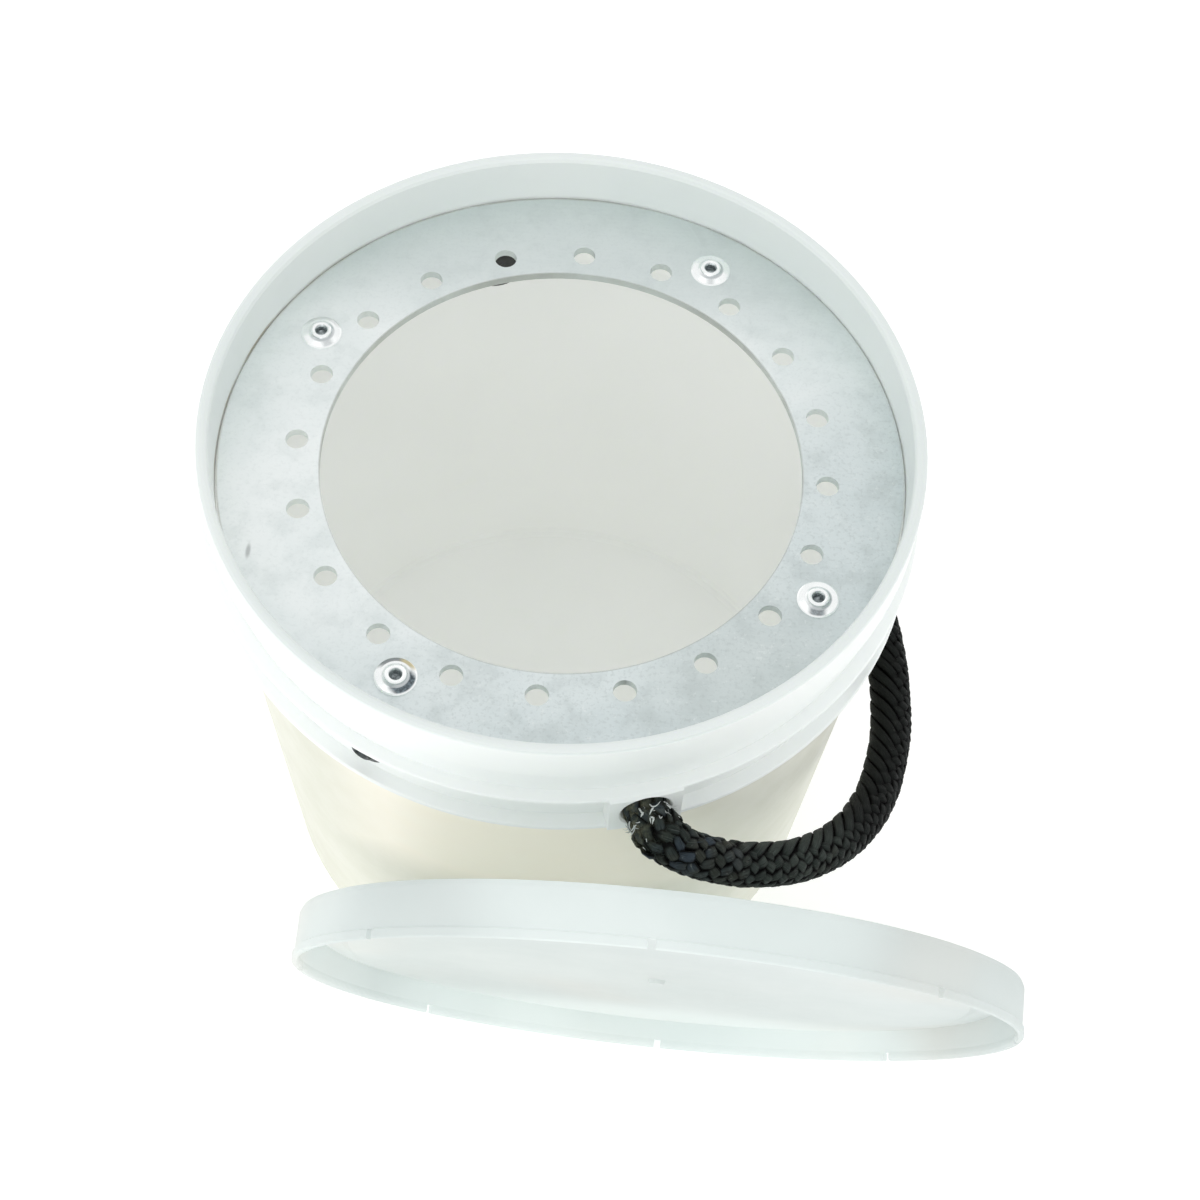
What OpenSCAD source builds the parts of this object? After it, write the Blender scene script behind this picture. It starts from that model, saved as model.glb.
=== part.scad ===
// Bait bucket: a round plastic pail with a perforated metal ring riveted to
// corner brackets just under its mouth, a rope handle whose flared ends hold it
// inside each ear, and a loose snap lid.
// Millimetres. +Z is up, the origin is the centre of the foot circle, and
// +Y points to the back. Azimuths are counted from +X, seen from above.

/* [Pail] */
// Radius of the ring seat, which sets the width of the whole pail
seat_r = 115.5; // [115.2:0.1:116.5]
// Height of the lip's top above the ground
lip_z = 233; // [230:0.5:238]
// Outer radius of the lip band
lip_r = 119.8; // [119.2:0.1:120.0]
// Height of the lip band
lip_band_h = 16; // [12:0.5:18]
// Outer radius at the foot
foot_r = 103.5; // [101:0.5:106]
// Wall thickness
wall = 2; // [1.6:0.1:2.4]
// Outer radius of the upper rib
rib_r = 121.5; // [120.5:0.1:121.8]
// Outer radius of the lower rib
low_rib_r = 120.8; // [119.5:0.1:121.6]
// Height of the pail's inside floor above the ground
floor_z = 12; // [9:0.5:16]

/* [Ring] */
// Height of the ring's top face
ring_z = 213; // [212:0.5:214]
// Thickness of the ring plate
ring_t = 3; // [2:0.5:3]
// Outer radius of the ring
ring_r = 115; // [114:0.1:115]
// Radius of the opening in the ring
opening_r = 80.85; // [74:0.05:82]
// Number of air holes
hole_n = 20; // [10:2:24]
// Radius of one air hole
hole_r = 3.85; // [2.5:0.05:4]
// Radius of the circle that the air holes lie on
hole_pcr = 89.15; // [87:0.05:89.5]
// Azimuth of the first air hole
hole_az = 17.1; // [0:0.1:18]

/* [Rivets and brackets] */
// Azimuth of the first bracket
bracket_az = 61.9; // [50:0.1:70]
// Radius of the circle that the ring rivets lie on
rivet_pcr = 98.15; // [97:0.05:100]
// Radius of a rivet's shank
shank_r = 2.4; // [2:0.1:2.4]
// Radius of a rivet's flange
flange_r = 6.9; // [5:0.1:7]
// Width of a corner bracket
bracket_w = 15; // [12:0.5:18]
// Thickness of a corner bracket
bracket_t = 2; // [1.5:0.1:2]

/* [Rope handle] */
// Radius of the rope
rope_r = 7.5; // [7:0.1:8]
// Height of the handle's turning axis
ear_z = 193; // [192.5:0.5:193.5]
// Azimuth of the front ear
ear_az = 287; // [280:0.5:294]
// How far the handle hangs below the level at rest
hang = 36; // [35:1:37]
// Radius of the flared end that stops the rope
end_r = 13; // [11:0.5:13.5]
// Length of the flared end
end_len = 10; // [8:0.5:12]

/* [Lid] */
// Outer radius of the lid
lid_r = 121.6; // [121.5:0.1:124]
// Height of the lid
lid_h = 17.8; // [16:0.1:20]
// Wall thickness of the lid
lid_wall = 1.3; // [1.1:0.05:1.3]
// How far the standing lid leans out past upright
lid_lean = 14; // [8:1:16]

/* [Hidden] */

white = "#e9eeea";
metal = "#c3c8c6";
bright = "#d7dadb";
black = "#1b1d1e";
milky = "#dfe7e2";

fine = 128;
med = 48;
gap = 0.05;                       // clearance of a shank in its hole

rib_z = 201.4;                    // underside of the upper rib
rib_t = 1.6;
low_rib_z = 182;                  // underside of the lower rib
low_rib_t = 1.8;
draft = (seat_r - foot_r + wall) / (ring_z - ring_t);   // slope of the tapered wall
function wall_out(z) = foot_r + draft * z;              // outer radius of the tapered wall
function wall_in(z) = wall_out(z) - wall;
tilt = atan(draft);

ear_w = 24;                       // width of an ear boss
ear_out = 122.2;                  // how far an ear boss reaches
ear_bore = rope_r + 0.35;
ear_flare = 1.6;                  // how wide and deep its mouth opens out

bracket_leg = 24;                 // depth of the bracket's upright leg
bracket_in = 89.5;                // where its flat leg ends
wall_rivet_z = ring_z - ring_t - 15.6;
wall_flange_r = 6.6;

washer_x = 110.1;                 // inner face of a rope washer
washer_t = 2;

lid_yaw = -2;
lid_x = 45;
lid_y = -143.5;
lid_gap = 0.1;                    // height of the lid's lowest edge
lid_z = lid_r * cos(lid_lean) + lid_h / 2 * sin(lid_lean) + lid_gap;

// The rope's route in the handle's own plane, from its front end to its back
// end: x along the turning axis, y away from it.
route = [[110, 0], [116, 0], [122, 0], [129, 3], [134.5, 11], [137, 24], [137, 42], [133, 64],
    [124, 86], [110, 106], [92, 122], [68, 136], [36, 146], [0, 149],
    [-36, 146], [-68, 136], [-92, 122], [-110, 106], [-124, 86], [-133, 64],
    [-137, 42], [-137, 24], [-134.5, 11], [-129, 3], [-122, 0], [-116, 0], [-110, 0]];
route_steps = 3;                  // rings between two route points
rope_sides = 12;

// ---------- curves ----------
function cr(a, b, c, d, t) = 0.5 * ((2 * b) + (c - a) * t + (2 * a - 5 * b + 4 * c - d) * t * t
    + (3 * b - a - 3 * c + d) * t * t * t);
function at(p, i) = p[max(0, min(len(p) - 1, i))];
function smooth(p, n) = [for (i = [0 : len(p) - 2], k = [0 : n - 1])
    cr(at(p, i - 1), p[i], p[i + 1], at(p, i + 2), k / n), p[len(p) - 1]];
function dir2(p, i) = let (d = at(p, i + 1) - at(p, i - 1)) d / norm(d);

// A tube swept along a flat path, closed at both ends
module flat_tube(p, r, sides) {
    n = len(p);
    pts = [for (i = [0 : n - 1], k = [0 : sides - 1])
        let (t = i == 0 ? [1, 0] : i == n - 1 ? [1, 0] : dir2(p, i), a = 360 * k / sides)
        [p[i][0] - r * cos(a) * t[1], p[i][1] + r * cos(a) * t[0], r * sin(a)]];
    sidesf = [for (i = [0 : n - 2], k = [0 : sides - 1])
        [i * sides + k, i * sides + (k + 1) % sides,
         (i + 1) * sides + (k + 1) % sides, (i + 1) * sides + k]];
    caps = [[for (k = [sides - 1 : -1 : 0]) k], [for (k = [0 : sides - 1]) (n - 1) * sides + k]];
    polyhedron(points = pts, faces = concat(sidesf, caps), convexity = 6);
}

// ---------- placing ----------
module on_handle() {
    translate([0, 0, ear_z]) rotate([0, 0, ear_az]) rotate([-hang, 0, 0]) children();
}
module at_az(a) { rotate([0, 0, a]) children(); }
// along the outward normal of the tapered wall at azimuth a and height z
module on_wall(a, z) {
    rotate([0, 0, a]) translate([wall_out(z), 0, z]) rotate([0, 90 + tilt, 0]) children();
}

// ---------- pail ----------
module pail_shell() {
    groove_r = wall_out(ring_z);
    rotate_extrude($fn = fine) polygon([
        [0, floor_z], [wall_in(floor_z) - 3, floor_z], [wall_in(floor_z) - 0.9, floor_z + 0.9],
        [wall_in(floor_z + 3), floor_z + 3],
        [wall_in(ring_z - ring_t - 2), ring_z - ring_t - 2], [seat_r, ring_z - ring_t],
        [seat_r + 0.1, lip_z - 1.6], [seat_r + 0.7, lip_z - 0.5], [seat_r + 1.7, lip_z],
        [lip_r - 1.4, lip_z], [lip_r - 0.4, lip_z - 0.4], [lip_r, lip_z - 1.4],
        [lip_r, lip_z - lip_band_h + 0.6], [lip_r - 0.5, lip_z - lip_band_h],
        [groove_r, lip_z - lip_band_h], [wall_out(rib_z), rib_z + rib_t],
        [rib_r - 0.4, rib_z + rib_t], [rib_r, rib_z + rib_t - 0.4], [rib_r, rib_z + 0.3],
        [rib_r - 0.3, rib_z], [wall_out(rib_z), rib_z],
        [wall_out(low_rib_z + low_rib_t), low_rib_z + low_rib_t],
        [low_rib_r - 0.4, low_rib_z + low_rib_t], [low_rib_r, low_rib_z + low_rib_t - 0.4],
        [low_rib_r, low_rib_z + 0.3], [low_rib_r - 0.3, low_rib_z], [wall_out(low_rib_z), low_rib_z],
        [wall_out(6), 6], [wall_out(2), 2], [foot_r - 0.6, 0.5], [foot_r - 1.6, 0],
        [foot_r - 4.2, 0], [foot_r - 4.8, 0.8], [foot_r - 5.4, floor_z - 2.6],
        [40, floor_z - 2.4], [40, floor_z - 3.6], [38, floor_z - 3.6], [38, floor_z - 2.4],
        [3.2, floor_z - 2.4], [2.6, floor_z - 4.4], [0, floor_z - 4.4]]);
}
// Rounded pad round a rope hole, joining the two ribs
module ear_boss() {
    intersection() {
        translate([100, -ear_w / 2, low_rib_z + 0.2])
            cube([ear_out - 100, ear_w, rib_z + rib_t - low_rib_z - 0.4]);
        rotate_extrude($fn = fine) polygon([[wall_in(190) + 1, low_rib_z], [ear_out - 1.2, low_rib_z],
            [ear_out, low_rib_z + 1.2], [ear_out, rib_z + rib_t - 1.2],
            [ear_out - 1.2, rib_z + rib_t], [wall_in(190) + 1, rib_z + rib_t]]);
    }
}
module pail() {
    color(white) difference() {
        union() {
            pail_shell();
            for (a = [0, 180]) at_az(ear_az + a) ear_boss();
        }
        for (a = [0, 180]) at_az(ear_az + a)
            translate([0, 0, ear_z]) rotate([0, 90, 0]) rotate_extrude($fn = med) polygon([
                [0, 105], [ear_bore, 105], [ear_bore, ear_out - ear_flare],
                [ear_bore + ear_flare * 0.25, ear_out - ear_flare * 0.45],
                [ear_bore + ear_flare, ear_out + 0.1], [ear_bore + ear_flare, ear_out + 3],
                [0, ear_out + 3]]);
        for (k = [0 : 3])
            on_wall(bracket_az + 90 * k, wall_rivet_z)
                translate([0, 0, -6]) cylinder(r = shank_r + gap, h = 12, $fn = med);
    }
}

// ---------- ring ----------
module perforated_ring() {
    color(metal) difference() {
        translate([0, 0, ring_z - ring_t]) cylinder(r = ring_r, h = ring_t, $fn = fine);
        translate([0, 0, ring_z - ring_t - 1]) cylinder(r = opening_r, h = ring_t + 2, $fn = fine);
        for (k = [0 : hole_n - 1]) at_az(hole_az + 360 / hole_n * k)
            translate([hole_pcr, 0, ring_z - ring_t - 1]) cylinder(r = hole_r, h = ring_t + 2, $fn = med);
        for (k = [0 : 3]) at_az(bracket_az + 90 * k)
            translate([rivet_pcr, 0, ring_z - ring_t - 1])
                cylinder(r = shank_r + gap, h = ring_t + 2, $fn = med);
    }
}

// ---------- rivets ----------
// A set blind rivet, its flange's underside at z = 0 and its shank down to -grip
module blind_rivet(grip, fr = flange_r) {
    rotate_extrude($fn = med) polygon([
        [1.45, 0.8], [1.7, 1.5], [2.15, 2.1], [2.6, 2.35], [3.0, 2.35], [3.45, 2.1], [3.75, 1.6],
        [4.4, 1.15], [fr - 0.5, 0.75], [fr, 0.45], [fr, 0.02], [shank_r, 0.02], [shank_r, -grip - 0.02],
        [3.3, -grip - 0.6], [3.7, -grip - 2], [3.2, -grip - 3.6], [1.95, -grip - 4.4], [1.45, -grip - 4.4]]);
}
// What is left of the pulling pin inside it
module mandrel(grip) {
    rotate_extrude($fn = 32) polygon([[0, 0.75], [0.7, 0.85], [1.38, 0.6], [1.38, -grip - 4.5],
        [1.95, -grip - 4.6], [1.95, -grip - 5.6], [1.2, -grip - 6.2], [0, -grip - 6.2]]);
}
module ring_rivets() {
    color(bright) for (k = [0 : 3]) at_az(bracket_az + 90 * k)
        translate([rivet_pcr, 0, ring_z]) blind_rivet(ring_t + bracket_t);
}
module ring_rivet_mandrels() {
    color(metal) for (k = [0 : 3]) at_az(bracket_az + 90 * k)
        translate([rivet_pcr, 0, ring_z]) mandrel(ring_t + bracket_t);
}
wall_grip = wall + bracket_t + 0.6;
module wall_rivets() {
    color(bright) for (k = [0 : 3]) on_wall(bracket_az + 90 * k, wall_rivet_z)
        translate([0, 0, 0.25]) blind_rivet(wall_grip + 0.25, wall_flange_r);
}
module wall_rivet_mandrels() {
    color(metal) for (k = [0 : 3]) on_wall(bracket_az + 90 * k, wall_rivet_z)
        translate([0, 0, 0.25]) mandrel(wall_grip + 0.25);
}

// ---------- brackets ----------
// Right-angle bracket under the ring: one leg flat under it, one down the wall
module bracket(a) {
    top = ring_z - ring_t - 0.02;
    low = top - bracket_leg;
    face = function (z) wall_in(z) - 0.45;
    color(bright) difference() {
        at_az(a) translate([0, bracket_w / 2, 0]) rotate([90, 0, 0])
            linear_extrude(height = bracket_w) polygon([
                [bracket_in, top], [face(top) - 1.2, top], [face(top - 1.2) - 0.35, top - 0.35],
                [face(top - 1.2), top - 1.2], [face(low), low], [face(low) - bracket_t, low],
                [face(top - 4) - bracket_t, top - 4], [face(top - 2.6) - bracket_t - 0.5, top - 2.6],
                [face(top) - bracket_t - 2, top - bracket_t], [bracket_in, top - bracket_t]]);
        at_az(a) translate([rivet_pcr, 0, top - 5]) cylinder(r = shank_r + gap, h = 8, $fn = med);
        on_wall(a, wall_rivet_z) translate([0, 0, -9]) cylinder(r = shank_r + gap, h = 12, $fn = med);
    }
}
module bracket_back_right() { bracket(bracket_az); }
module bracket_back_left() { bracket(bracket_az + 90); }
module bracket_front_left() { bracket(bracket_az + 180); }
module bracket_front_right() { bracket(bracket_az + 270); }

// ---------- rope handle ----------
module rope_handle() {
    color(black) on_handle() flat_tube(smooth(route, route_steps), rope_r, rope_sides);
}
// Flared end of the rope: a rounded button on the turning axis
module rope_end(side) {
    color(black) on_handle() rotate([0, side * 90, 0])
        translate([0, 0, 110 - end_len]) rotate_extrude($fn = med) polygon([
            [0, 0], [end_r * 0.45, 0.3], [end_r * 0.75, end_len * 0.12], [end_r * 0.93, end_len * 0.32],
            [end_r, end_len * 0.6], [end_r * 0.97, end_len * 0.85], [end_r * 0.86, end_len],
            [0, end_len]]);
}
module rope_end_front() { rope_end(1); }
module rope_end_back() { rope_end(-1); }
// Flat washer between a flared end and the wall
module rope_washer(side) {
    color(metal) on_handle() rotate([0, side * 90, 0]) translate([0, 0, washer_x]) difference() {
        cylinder(r = 15, h = washer_t, $fn = 64);
        translate([0, 0, -1]) cylinder(r = ear_bore + 0.02, h = washer_t + 2, $fn = med);
    }
}
module rope_washer_front() { rope_washer(1); }
module rope_washer_back() { rope_washer(-1); }

// ---------- lid ----------
// Snap lid with its open side down, centred on its own middle
module lid_shell() {
    w = lid_wall;
    h = lid_h / 2;
    plug = seat_r - 0.4;
    rotate_extrude($fn = fine) polygon([
        // top side, from the middle out
        [0, 1.3], [104, 1.3], [106.5, 2.2], [110, 2.2], [plug - w - 1.4, 2.6], [plug - w, 4],
        [plug - w + 0.3, h - 1.2], [plug - w + 1.4, h],
        [lid_r - 2.2, h], [lid_r - 0.7, h - 0.6], [lid_r, h - 2.2],
        [lid_r, -h + 3.2], [lid_r + 0.6, -h + 2.6], [lid_r + 0.6, -h + 0.3], [lid_r + 0.3, -h],
        // back up inside the skirt, along the snap bead
        [lid_r - w + 0.1, -h], [lid_r - w - 0.35, -h + 1], [lid_r - w - 0.35, -h + 2],
        [lid_r - w, -h + 3.2], [lid_r - w, h - 2.6], [lid_r - w - 0.9, h - w],
        [plug + 0.8, h - w], [plug, h - w - 1],
        [plug, 2.2], [plug - 1.4, 0.8], [110.4, 0.5], [107, 0.5], [104.4, -0.4], [3, -0.4],
        [2.4, -1.6], [0, -1.6]]);
}
module lid() {
    color(milky) translate([lid_x, lid_y, lid_z]) rotate([0, 0, lid_yaw]) rotate([lid_lean - 90, 0, 0])
        difference() {
            lid_shell();
            // tear notches in the skirt's edge
            for (k = [0 : 7]) rotate([0, 0, 45 * k + 42.5])
                translate([lid_r - 4, -1.2, -lid_h / 2 - 1]) cube([8, 2.4, 4]);
        }
}

pail();
perforated_ring();
ring_rivets();
ring_rivet_mandrels();
bracket_front_left();
bracket_front_right();
bracket_back_left();
bracket_back_right();
wall_rivets();
wall_rivet_mandrels();
rope_handle();
rope_end_front();
rope_end_back();
rope_washer_front();
rope_washer_back();
lid();
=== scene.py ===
import math
import random

import bpy
import numpy as np
from mathutils import Matrix, Vector


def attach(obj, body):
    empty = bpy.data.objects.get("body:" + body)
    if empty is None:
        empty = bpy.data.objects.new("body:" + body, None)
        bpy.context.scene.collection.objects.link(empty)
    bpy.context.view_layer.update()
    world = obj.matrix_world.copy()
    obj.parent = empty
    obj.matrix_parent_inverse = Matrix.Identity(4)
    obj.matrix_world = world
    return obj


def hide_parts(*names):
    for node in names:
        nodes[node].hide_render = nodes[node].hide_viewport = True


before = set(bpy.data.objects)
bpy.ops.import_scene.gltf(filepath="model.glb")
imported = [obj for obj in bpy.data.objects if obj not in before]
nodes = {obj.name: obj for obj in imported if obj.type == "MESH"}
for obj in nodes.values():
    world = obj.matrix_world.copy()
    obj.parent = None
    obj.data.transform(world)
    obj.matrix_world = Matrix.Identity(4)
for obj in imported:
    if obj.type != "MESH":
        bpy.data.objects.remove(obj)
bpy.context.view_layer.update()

scene = bpy.context.scene
rng = np.random.default_rng(7)
random.seed(7)


# ---------------------------------------------------------------- camera
def make_camera():
    """The photograph's viewing angle: looking along +Y and down, with a small roll."""
    e, roll = math.radians(58.793), math.radians(4.359)
    right = np.array([1.0, 0, 0])
    fwd = np.array([0, math.cos(e), -math.sin(e)])
    down = np.cross(fwd, right)
    cr, sr = math.cos(roll), math.sin(roll)
    x_axis = cr * right - sr * down
    y_axis = -(sr * right + cr * down)
    z_axis = -fwd
    data = bpy.data.cameras.new("photo_camera")
    data.sensor_fit = "HORIZONTAL"
    data.sensor_width = 36.0
    data.lens = 69.735
    data.clip_start = 0.02
    data.clip_end = 30
    cam = bpy.data.objects.new("photo_camera", data)
    m = Matrix.Identity(4)
    for r in range(3):
        m[r][0], m[r][1], m[r][2] = x_axis[r], y_axis[r], z_axis[r]
    m[0][3], m[1][3], m[2][3] = 0.016144, -0.441304, 0.854838
    cam.matrix_world = m
    scene.collection.objects.link(cam)
    scene.camera = cam
    return cam


make_camera()


# ---------------------------------------------------------------- mesh helpers
def add_mesh(name, verts, faces, smooth=True, uvs=None, height=None):
    """verts (n, 3) in metres, faces a list of index tuples, uvs one pair a loop, height one value a vertex."""
    me = bpy.data.meshes.new(name)
    me.from_pydata([tuple(v) for v in verts], [], [tuple(int(i) for i in f) for f in faces])
    me.update()
    if smooth:
        me.polygons.foreach_set("use_smooth", [True] * len(me.polygons))
    if uvs is not None:
        layer = me.uv_layers.new(name="UVMap")
        layer.data.foreach_set("uv", np.asarray(uvs, np.float32).ravel())
    if height is not None:
        att = me.attributes.new("height", "FLOAT", "POINT")
        att.data.foreach_set("value", np.asarray(height, np.float32))
    ob = bpy.data.objects.new(name, me)
    scene.collection.objects.link(ob)
    return ob


# ---------------------------------------------------------------- the rope's route
# The same route as in the part: x along the turning axis, y away from it, in millimetres.
ROUTE = [(110, 0), (116, 0), (122, 0), (129, 3), (134.5, 11), (137, 24), (137, 42), (133, 64),
         (124, 86), (110, 106), (92, 122), (68, 136), (36, 146), (0, 149),
         (-36, 146), (-68, 136), (-92, 122), (-110, 106), (-124, 86), (-133, 64),
         (-137, 42), (-137, 24), (-134.5, 11), (-129, 3), (-122, 0), (-116, 0), (-110, 0)]
EAR_Z, EAR_AZ, HANG = 193.0, 287.0, 36.0
ROPE_R = 7.5


def catmull(a, b, c, d, t):
    return 0.5 * ((2 * b) + (c - a) * t + (2 * a - 5 * b + 4 * c - d) * t * t
                  + (3 * b - a - 3 * c + d) * t ** 3)


def smooth_route(points, steps):
    p = np.array(points, float)
    n = len(p)
    out = []
    for i in range(n - 1):
        a, b, c, d = p[max(i - 1, 0)], p[i], p[i + 1], p[min(i + 2, n - 1)]
        for k in range(steps):
            out.append(catmull(a, b, c, d, k / steps))
    out.append(p[-1])
    return np.array(out)


def rot_x(a):
    c, s = math.cos(a), math.sin(a)
    return np.array([[1, 0, 0], [0, c, -s], [0, s, c]])


def rot_z(a):
    c, s = math.cos(a), math.sin(a)
    return np.array([[c, -s, 0], [s, c, 0], [0, 0, 1]])


HANDLE = rot_z(math.radians(EAR_AZ)) @ rot_x(math.radians(-HANG))


def on_handle(p):
    """Millimetres in the handle's own plane to metres in the row frame."""
    return (np.asarray(p, float) @ HANDLE.T + np.array([0, 0, EAR_Z])) / 1000.0


def resample(path, step):
    d = np.r_[0, np.cumsum(np.linalg.norm(np.diff(path, axis=0), axis=1))]
    n = max(2, int(round(d[-1] / step)) + 1)
    s = np.linspace(0, d[-1], n)
    return np.stack([np.interp(s, d, path[:, k]) for k in range(path.shape[1])], 1), s


fine_route, _ = resample(smooth_route(ROUTE, 24), 0.4)
ring_path, ring_s = resample(fine_route, 1.25)
rope_length = float(ring_s[-1])


def path_frames(path):
    t = np.gradient(path, axis=0)
    t /= np.linalg.norm(t, axis=1)[:, None]
    for _ in range(3):                      # soften the frames at the tight bends
        t[1:-1] = (t[:-2] + 2 * t[1:-1] + t[2:]) / 4
    t[0], t[-1] = (1, 0), (1, 0)
    t /= np.linalg.norm(t, axis=1)[:, None]
    return t


def hash01(*k):
    v = math.sin(sum(a * b for a, b in zip(k, (12.9898, 78.233, 37.719, 4.581)))) * 43758.5453
    return v - math.floor(v)


# ---------------------------------------------------------------- braided rope
def braid():
    """A round diamond braid of 10 and 10 flat strands over a core, laid along the route."""
    p = ring_path
    s = ring_s
    t = path_frames(p)
    inner = np.stack([-t[:, 1], t[:, 0]], 1)          # left of travel: towards the loop's inside
    n_ring = len(p)
    N, pitch, sides = 10, 72.5, 12
    mean_r, amp, half_t = 5.85, 0.74, 0.88
    verts, faces, uvs, height = [], [], [], []
    ends = np.clip(np.minimum(s - 9, s[-1] - 9 - s) / 8.0, 0, 1)    # tight inside the holes
    fray = np.clip(1 - np.abs(s - 21) / 17, 0, 1)                   # worn where it leaves the front hole
    for fam in (1, -1):
        for k in range(N):
            c = 2 * N * s / pitch
            phi = fam * 2 * math.pi * s / pitch + 2 * math.pi * k / N
            wobble = 0.035 * np.sin(s * 0.21 + 5 * hash01(k, fam)) + 0.03 * np.sin(s * 0.093 + 9 * hash01(k + 3, fam))
            phi = phi + wobble * (1 + 2.5 * fray)
            w = np.cos(math.pi * c) * (1 if fam == -1 else -1)
            w = np.sign(w) * np.abs(w) ** 0.5
            far = np.clip((s - 80) / 50, 0, 1)
            toward = np.clip((np.cos(phi) + 0.16 - 0.44 * far) / 0.38, 0, 1)
            away = np.clip((s - 42) / 14, 0, 1)
            g = toward * toward * (3 - 2 * toward) * ends * away
            if fam == -1:
                lift = w * (1 - g) + 1.0 * g
                rad = mean_r + amp * lift + 0.10 * g
                half_w = 1.72 + 0.14 * np.clip(w, -1, 1) * (1 - g) + 0.02 * g
            else:
                lift = w * (1 - 0.6 * g) - 0.9 * g
                rad = mean_r + amp * lift - 0.35 * g
                half_w = 1.72 + 0.14 * np.clip(w, -1, 1)
            jitter = (0.07 * np.sin(c * math.pi * 0.5 + 6.28 * hash01(k, fam, 2))
                      + 0.06 * np.sin(s * 0.37 + 6.28 * hash01(k, fam, 4)))
            loose = fray * (0.35 + 0.55 * np.sin(k * 2.4 + s * 0.23) + 0.45 * np.sin(k * 5.1 + fam + s * 0.61)) * ends
            rad = rad + jitter + loose
            rad = rad * (0.965 + 0.035 * ends)
            # centre line of the strand in the handle's plane frame
            cx = p[:, 0] + rad * np.cos(phi) * inner[:, 0]
            cy = p[:, 1] + rad * np.cos(phi) * inner[:, 1]
            cz = rad * np.sin(phi)
            C = np.stack([cx, cy, cz], 1)
            out = np.stack([np.cos(phi) * inner[:, 0], np.cos(phi) * inner[:, 1], np.sin(phi)], 1)
            d = np.gradient(C, axis=0)
            d /= np.linalg.norm(d, axis=1)[:, None]
            side = np.cross(d, out)
            side /= np.linalg.norm(side, axis=1)[:, None]
            up = np.cross(side, d)
            # a strand tips a little as it dives under the next one
            tip = 0.16 * np.sin(math.pi * c) * (1 - g)
            up = up * np.cos(tip)[:, None] + d * np.sin(tip)[:, None]
            base = len(verts)
            a = (np.arange(sides) + 0.5) * 2 * math.pi / sides
            ca, sa = np.cos(a), np.sin(a)
            se_c = np.sign(ca) * np.abs(ca) ** 0.72
            se_s = np.sign(sa) * np.abs(sa) ** 0.62
            V = (C[:, None, :] + side[:, None, :] * (half_w[:, None] * se_c[None, :])[:, :, None]
                 + up[:, None, :] * (half_t * se_s)[None, :, None])
            verts.extend(on_handle(V.reshape(-1, 3)))
            # how far each point stands out of the weave, less at the strand's edges; the rope's material paints shade
            # where this is low
            stand = 0.5 + 0.5 * lift[:, None] - 0.75 * (np.abs(se_c[None, :]) ** 4)
            stand = stand * np.where(se_s > -0.2, 1.0, 0.0)[None, :]
            height.extend(np.clip(stand, 0, 1).ravel())
            for i in range(n_ring - 1):
                for j in range(sides):
                    j2 = (j + 1) % sides
                    q = (base + i * sides + j, base + (i + 1) * sides + j,
                         base + (i + 1) * sides + j2, base + i * sides + j2)
                    faces.append(q)
                    u0, u1 = j / sides, (j + 1) / sides
                    v0, v1 = s[i] / 1000, s[i + 1] / 1000
                    off = k + (0 if fam == 1 else 20)
                    uvs += [(u0 + off, v0), (u0 + off, v1), (u1 + off, v1), (u1 + off, v0)]
            for ring, order in ((0, 1), (n_ring - 1, -1)):
                cap = [base + ring * sides + j for j in range(sides)][::order]
                faces.append(tuple(cap))
                uvs += [(k, 0)] * sides
    # core, left at height 0 so it is painted near-black, as shade between the strands
    base = len(verts)
    sides, r = 12, 5.0
    a = np.arange(sides) * 2 * math.pi / sides
    V = np.zeros((n_ring, sides, 3))
    V[:, :, 0] = p[:, 0, None] + r * np.cos(a)[None, :] * inner[:, 0, None]
    V[:, :, 1] = p[:, 1, None] + r * np.cos(a)[None, :] * inner[:, 1, None]
    V[:, :, 2] = r * np.sin(a)[None, :]
    verts.extend(on_handle(V.reshape(-1, 3)))
    height.extend([0.0] * (n_ring * sides))
    for i in range(n_ring - 1):
        for j in range(sides):
            j2 = (j + 1) % sides
            faces.append((base + i * sides + j, base + (i + 1) * sides + j,
                          base + (i + 1) * sides + j2, base + i * sides + j2))
            uvs += [(50, 0)] * 4
    for ring, order in ((0, 1), (n_ring - 1, -1)):
        faces.append(tuple([base + ring * sides + j for j in range(sides)][::order]))
        uvs += [(50, 0)] * sides
    ob = add_mesh("rope_braid", verts, faces, uvs=uvs, height=height)
    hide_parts("rope_handle")
    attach(ob, "handle")
    return ob


rope = braid()
cord_path = on_handle(np.c_[ring_path[::3], np.zeros(len(ring_path[::3]))])
last = on_handle([[ring_path[-1][0], ring_path[-1][1], 0]])
if np.linalg.norm(cord_path[-1] - last[0]) > 1e-6:
    cord_path = np.vstack([cord_path, last])


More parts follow.
